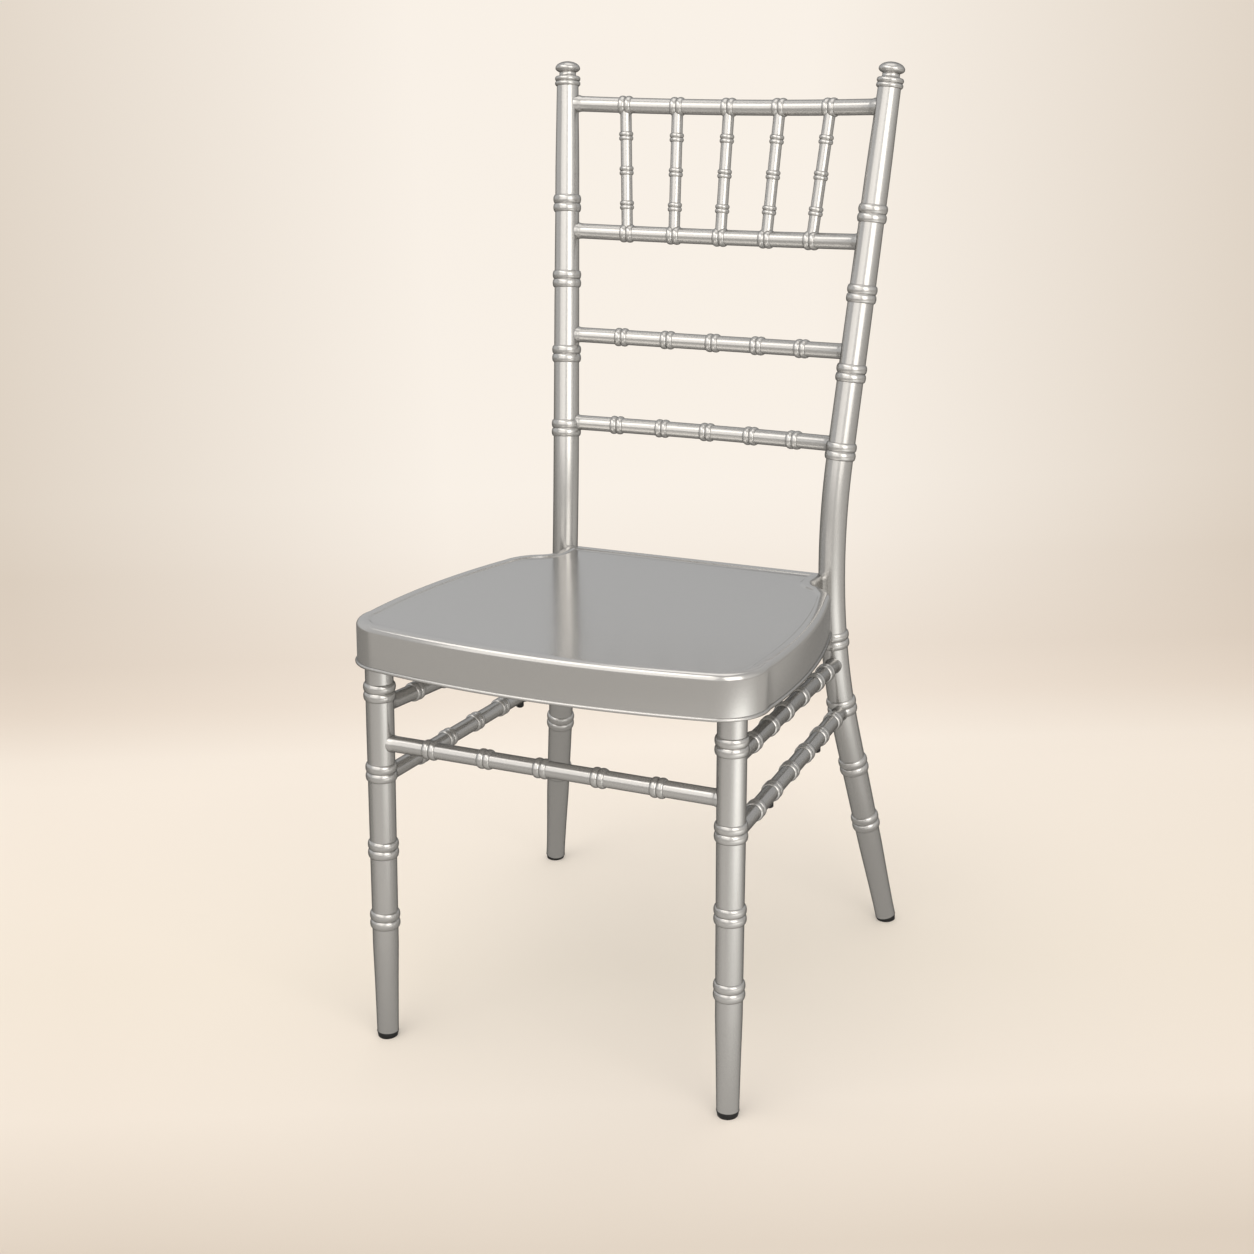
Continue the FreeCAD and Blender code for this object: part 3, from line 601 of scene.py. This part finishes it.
# %% Roll the lower edge, and give the sheet its thickness
roll_radius = 1.8 * MM
roll_lift = 1.7 * MM  # the roll's middle above the end of the skirt
pick(pan, "EDGE", lies_at(-skirt))
bpy.ops.mesh.duplicate()
bpy.ops.mesh.separate(type="SELECTED")
bpy.ops.object.mode_set(mode="OBJECT")
roll = [piece for piece in bpy.context.selected_objects if piece is not pan][0]
roll.name = "seat_pan_rolled_edge"
only(roll)
bpy.ops.object.convert(target="CURVE")
roll.data.bevel_depth = roll_radius
roll.data.bevel_resolution = 5
bpy.ops.object.convert(target="MESH")
roll = bpy.context.object
bpy.ops.object.mode_set(mode="EDIT")
bpy.ops.mesh.select_all(action="SELECT")
bpy.ops.mesh.remove_doubles(threshold=SAME_PLACE)
bpy.ops.mesh.normals_make_consistent(inside=False)
bpy.ops.transform.translate(value=(0, 0, roll_lift))
bpy.ops.object.mode_set(mode="OBJECT")
bpy.ops.object.shade_smooth()

only(pan)
sheet = pan.modifiers.new("Sheet", "SOLIDIFY")
sheet.thickness = 1.5 * MM
sheet.offset = -1
bpy.ops.object.modifier_apply(modifier=sheet.name)
bpy.ops.object.shade_smooth_by_angle(angle=math.radians(35))

for piece in (pan, roll):
    only(piece)
    piece.matrix_world = Matrix.Translation(seat_front) @ Matrix.Rotation(-seat_tilt, 4, "X")
    bpy.ops.object.transform_apply(location=True, rotation=True, scale=True)
keep(pan, ["seat_pan"])
keep(roll, [])

# %% [markdown]
# ## Materials
#
# The finish is a silver spray paint: aluminium flakes in a clear binder, baked on. The flakes give a metal's
# broad sheen, the binder keeps it satin, and the sprayed film has a very fine orange peel. The flat sheet of
# the seat takes the paint more smoothly than the tubes do, so it is a little glossier. The tubes' paint has a
# dark tint where it is seen at a slant, which paints shade along their edges; the sheet's paint has a pale
# one, which paints a brighter reflection on the seat.

# %% Paint and rubber
def linear(colour):
    """A written sRGB colour such as '#b5aea5', as the linear colour that the shader wants."""
    channels = [int(colour[place:place + 2], 16) / 255 for place in (1, 3, 5)]
    return tuple(c / 12.92 if c <= 0.04045 else ((c + 0.055) / 1.055) ** 2.4 for c in channels) + (1,)


def node(tree, kind, settings=None, links=None):
    """Adds a node, sets its own values or sockets, and links (socket: output) into it."""
    added = tree.nodes.new("ShaderNode" + kind)
    for name, amount in (settings or {}).items():
        if isinstance(name, int) or name in added.inputs:
            added.inputs[name].default_value = amount
        else:
            setattr(added, name, amount)
    for name, output in (links or {}).items():
        tree.links.new(output, added.inputs[name])
    return added


def ramp(tree, factor, stops):
    """A colour ramp over written colours, each with its place from 0 to 1."""
    added = node(tree, "ValToRGB", {}, {"Fac": factor})
    elements = added.color_ramp.elements
    elements[0].position, elements[1].position = stops[0][0], stops[-1][0]
    elements[0].color, elements[1].color = linear(stops[0][1]), linear(stops[-1][1])
    for position, written in stops[1:-1]:
        elements.new(position).color = linear(written)
    return added.outputs["Color"]


def between(tree, amount, low, high, start=0, end=1):
    """Maps an amount from one span to another and holds it at the ends."""
    settings = {"From Min": low, "From Max": high, "To Min": start, "To Max": end}
    return node(tree, "MapRange", settings, {"Value": amount}).outputs["Result"]


def new_material(name):
    """A material with an empty node tree, and that tree."""
    material = bpy.data.materials.new(name)
    material.use_nodes = True
    material.node_tree.nodes.clear()
    return material, material.node_tree


def silver_paint(name, edge, gloss):
    """Baked silver paint: satin, with fine flakes, and a tint where it is seen at a slant: painted shade
    along the edges when dark, a painted brighter reflection when pale.
    """
    material, tree = new_material(name)
    place = node(tree, "TexCoord").outputs["Object"]
    flakes = node(tree, "TexNoise", {"Scale": 1 / (0.9 * MM), "Detail": 1}, {"Vector": place})
    clouds = node(tree, "TexNoise", {"Scale": 1 / (60 * MM), "Detail": 3}, {"Vector": place})
    colour = ramp(tree, flakes.outputs["Fac"], [(0.3, "#c9c8c6"), (0.7, "#cfcecc")])
    satin = between(tree, clouds.outputs["Fac"], 0.3, 0.7, gloss - 0.01, gloss + 0.01)
    peel = node(tree, "Bump", {"Strength": 0.003, "Distance": 0.1 * MM}, {"Height": flakes.outputs["Fac"]})
    binder = {"Coat Weight": 0.2, "Coat Roughness": 0.08}
    # the edge tint is painted light and shade: the colour the paint takes where it is seen at a slant
    shader = node(tree, "BsdfPrincipled", {"Metallic": 0.88, "Specular Tint": linear(edge), **binder},
                  {"Base Color": colour, "Roughness": satin, "Normal": peel.outputs["Normal"]})
    node(tree, "OutputMaterial", {}, {"Surface": shader.outputs["BSDF"]})
    return material


def black_rubber():
    """Moulded black rubber: nearly matt, with a faint bloom."""
    material, tree = new_material("moulded_black_rubber")
    place = node(tree, "TexCoord").outputs["Object"]
    bloom = node(tree, "TexNoise", {"Scale": 1 / (4 * MM), "Detail": 4}, {"Vector": place})
    colour = ramp(tree, bloom.outputs["Fac"], [(0, "#0c0b0b"), (1, "#1b1a19")])
    grain = node(tree, "Bump", {"Strength": 0.2, "Distance": 0.1 * MM}, {"Height": bloom.outputs["Fac"]})
    shader = node(tree, "BsdfPrincipled", {"Roughness": 0.55, "IOR": 1.52},
                  {"Base Color": colour, "Normal": grain.outputs["Normal"]})
    node(tree, "OutputMaterial", {}, {"Surface": shader.outputs["BSDF"]})
    return material


rubber = black_rubber()
# dark edge tint: painted shade along the tubes' edges
tube_paint = silver_paint("silver_paint_on_tube", "#1c1c1c", 0.26)
finishes = {"painted_frame": tube_paint, "foot_rubber": rubber, "bumper_rubber": rubber}
# pale edge tint: a painted brighter reflection on the seat's sheet
sheet_paint = silver_paint("silver_paint_on_sheet", "#d8d8d8", 0.19)
for piece, nodes, slot in pieces.values():
    piece.data.materials.clear()
    piece.data.materials.append(sheet_paint if piece is pan else finishes[slot])
    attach(piece, "root")
    if nodes:
        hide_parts(*nodes)
print(len(pieces), "pieces painted, of", len(finishes), "finishes")

# %% [markdown]
# ## Floor, light and camera
#
# The chair stood on a sweep of cream paper in soft light. Here the floor is a disc so wide that it fills the
# picture. Its paint is cream with painted light and shade on it: palest in the middle, a soft band of painted
# shade where the sweep begins to rise, and painted shade towards the sides and at the photographer's feet.
# This painted tone depends only on the place on the floor. Part of it is shown to the camera as it is
# written, and the rest takes light and shadow.
#
# Metal shows what stands round it, and a studio is darker than its paper. So reflections see tones of their
# own: a painted reflection of the floor, with a painted pool of light where the key light falls on it and a
# painted shadow under and behind the chair, and a grey room that is brighter towards the key light.

# %% Amounts measured on the floor
AHEAD, SIDEWAYS = (-0.4262, 0.9046, 0), (0.9046, 0.4262, 0)  # as the photographer stands


def along(tree, place, direction):
    """How far a place lies along a direction."""
    return node(tree, "VectorMath", {"operation": "DOT_PRODUCT", 1: direction}, {0: place}).outputs["Value"]


def combined(tree, operation, *amounts):
    """Two amounts put through a Math node, each a plain number or a node's output."""
    plain = {place: amount for place, amount in enumerate(amounts) if isinstance(amount, (int, float))}
    linked = {place: amount for place, amount in enumerate(amounts) if place not in plain}
    return node(tree, "Math", {"operation": operation, **plain}, linked).outputs["Value"]


# %% Tone of the paper, with painted light and shade
photographer_back = 1.835  # metres from the chair's middle
nearest = 1.0  # the tone stays the same from here to behind the photographer
floor_radius = 60
bpy.ops.object.select_all(action="DESELECT")
bpy.ops.mesh.primitive_circle_add(vertices=96, radius=floor_radius, fill_type="NGON")
floor = bpy.context.object
floor.name = "paper_floor"
paper, tree = new_material("cream_paper_with_painted_light")
place = node(tree, "TexCoord").outputs["Object"]
ahead, sideways = along(tree, place, AHEAD), along(tree, place, SIDEWAYS)
away = combined(tree, "MAXIMUM", combined(tree, "ADD", ahead, photographer_back), nearest)
nearness = combined(tree, "DIVIDE", 1.0, away)
# painted light and shade on the cream: palest in the middle, a painted shade band where the sweep rises,
# painted shade near the camera
middle = ramp(tree, nearness, [
    (0.0, "#fdf5eb"), (0.27, "#fbf3e9"), (0.36, "#f2e7db"), (0.385, "#f6ebdf"), (0.415, "#fff7ed"),
    (0.55, "#f6eee2"), (0.64, "#f3ebe1"), (0.74, "#dcd2c6"), (0.78, "#dcd2c6"), (1.0, "#fdf4ea")])
across = combined(tree, "ABSOLUTE", combined(tree, "MULTIPLY", sideways, nearness))
# painted shade towards the sides of the floor
painted_side_shade = combined(tree, "MULTIPLY", between(tree, across, 0.1, 0.34),
                between(tree, nearness, 0.31, 0.43, 1, 0.25))
paper_and_painted_shade = node(tree, "MixRGB", {"blend_type": "MULTIPLY", "Color2": linear("#e4dfd9")},
            {"Fac": painted_side_shade, "Color1": middle}).outputs["Color"]
lit_paper = node(tree, "BsdfPrincipled", {"Roughness": 0.8}, {"Base Color": paper_and_painted_shade}).outputs["BSDF"]
plain_paper = node(tree, "Emission", {"Strength": 1.0}, {"Color": paper_and_painted_shade}).outputs["Emission"]

# %% The painted reflection of the paper, with a painted pool of light and a painted shadow
# centre of the painted pool of light, where the key light would fall
PAINTED_LIGHT_PATCH = (1.25, -0.7, 0)  # where the key light falls
patch_reach = 2.4  # metres over which its light fades
from_patch = node(tree, "VectorMath", {"operation": "DISTANCE", 1: PAINTED_LIGHT_PATCH}, {0: place}).outputs["Value"]
# painted pool of light, fading with the distance from its centre
painted_light_pool = ramp(tree, between(tree, from_patch, 0, patch_reach), [
    (0.28, "#fdfbf6"), (0.36, "#edebe6"), (0.46, "#cfccc7"), (0.65, "#cac7c2"), (1, "#b7b4af")])
# painted shadow of the chair on the reflected floor
painted_chair_shadow = combined(tree, "MAXIMUM", between(tree, ahead, -0.5, -0.1, 1, 0.6),
                 between(tree, ahead, 1.5, 3.5, 0, 1))  # dim under the chair and just behind it
painted_chair_shadow = combined(tree, "MAXIMUM", painted_chair_shadow, between(tree, sideways, 0.5, 1.1, 0, 0.95))  # but not on its right
# painted glare: brightest near the painted pool, dimmed by the painted shadow
painted_glare = combined(tree, "MULTIPLY", between(tree, from_patch, 0.25, 0.7, 1.9, 1), painted_chair_shadow)
# painted reflection of the floor, a glow seen only by glossy rays
painted_paper_reflection = node(tree, "Emission", {}, {"Color": painted_light_pool, "Strength": painted_glare}).outputs["Emission"]


def mixed(tree, share, first, second):
    """Two shaders mixed by a share of the second."""
    return node(tree, "MixShader", {}, {"Fac": share, 1: first, 2: second}).outputs["Shader"]


ray = node(tree, "LightPath").outputs
share = combined(tree, "MULTIPLY", ray["Is Camera Ray"], between(tree, nearness, 0.3, 0.42, 0.9, 0.22))
# glossy rays see the painted reflection of the floor
surface = mixed(tree, ray["Is Glossy Ray"], mixed(tree, share, lit_paper, plain_paper), painted_paper_reflection)
node(tree, "OutputMaterial", {}, {"Surface": surface})
floor.data.materials.append(paper)
print("paper floor", floor_radius, "m in radius")

# %% Room round the paper
TO_KEY = (0.8, -0.6, 0)
world = bpy.data.worlds.new("studio")
bpy.context.scene.world = world
world.use_nodes = True
tree = world.node_tree
tree.nodes.clear()
direction = node(tree, "TexCoord").outputs["Generated"]
room = ramp(tree, between(tree, along(tree, direction, TO_KEY), -1, 1), [
    (0, "#dadbdc"), (0.3, "#c6c6c6"), (0.6, "#bcbbb9"), (0.8, "#dcdad7"), (1, "#f0eeea")])
lighting = node(tree, "Background", {"Color": linear("#fffaf4"), "Strength": 0.7}).outputs["Background"]
mirrored_room = node(tree, "Background", {"Strength": 1.0}, {"Color": room}).outputs["Background"]
wall = node(tree, "Background", {"Color": linear("#ddd2c6"), "Strength": 1.0}).outputs["Background"]
ray = node(tree, "LightPath").outputs
unseen = mixed(tree, ray["Is Glossy Ray"], lighting, mirrored_room)
surroundings = mixed(tree, ray["Is Camera Ray"], unseen, wall)
node(tree, "OutputWorld", {}, {"Surface": surroundings})
print("room tones towards", TO_KEY)

# %% [markdown]
# Four soft boxes light the chair. The key stands in front on the right and draws the bright line down each
# tube. The front one fills the pan's rim and skirt from the left. The high one lights the upper sides of
# the rails, and the top one the seat and the back.

# %% Soft boxes
def soft_box(name, place, aim, size, power, colour="#fff9f2"):
    """A rectangular lamp at a place, aimed at a point, with its size in metres and its power in watts."""
    bpy.ops.object.select_all(action="DESELECT")
    bpy.ops.object.light_add(type="AREA", location=place)
    lamp = bpy.context.object
    lamp.name = name
    lamp.data.shape = "RECTANGLE"
    lamp.data.size, lamp.data.size_y = size
    lamp.data.energy = power
    lamp.data.color = linear(colour)[:3]
    lamp.rotation_euler = (Vector(aim) - Vector(place)).to_track_quat("-Z", "Y").to_euler()
    print(f"{name}: {power} W")


soft_box("key", (1.87, -1.41, 1.5), (0, 0, 0.6), (1.6, 1.9), 19)
soft_box("front", (-0.6, -2.45, 1.95), (0, 0, 0.6), (3.0, 2.6), 20)
soft_box("high", (-0.79, -1.13, 2.42), (0, 0, 0.45), (2.4, 0.9), 10)
soft_box("top", (0.0, 0.4, 2.8), (0, 0, 0.4), (1.6, 1.6), 7)

# %% [markdown]
# The camera's place, turn and lens were fitted to the photograph: the legs, the beads, the rails and the
# outline of the seat.

# %% Camera
camera_place = Vector((0.7679, -1.6667, 1.0396))
yaw, pitch, roll_angle = math.radians(25.225), math.radians(19.765), -0.0286
bpy.ops.object.camera_add(location=camera_place)
camera = bpy.context.object
camera.matrix_world = (Matrix.Translation(camera_place) @ Matrix.Rotation(yaw, 4, "Z")
                       @ Matrix.Rotation(math.pi / 2 - pitch, 4, "X") @ Matrix.Rotation(roll_angle, 4, "Z"))
camera.data.sensor_width = 36
camera.data.lens = 55.39
bpy.context.scene.camera = camera
bpy.context.scene.view_settings.view_transform = "Standard"
print("camera at", tuple(round(size, 3) for size in camera_place), "with a lens of", camera.data.lens, "mm")
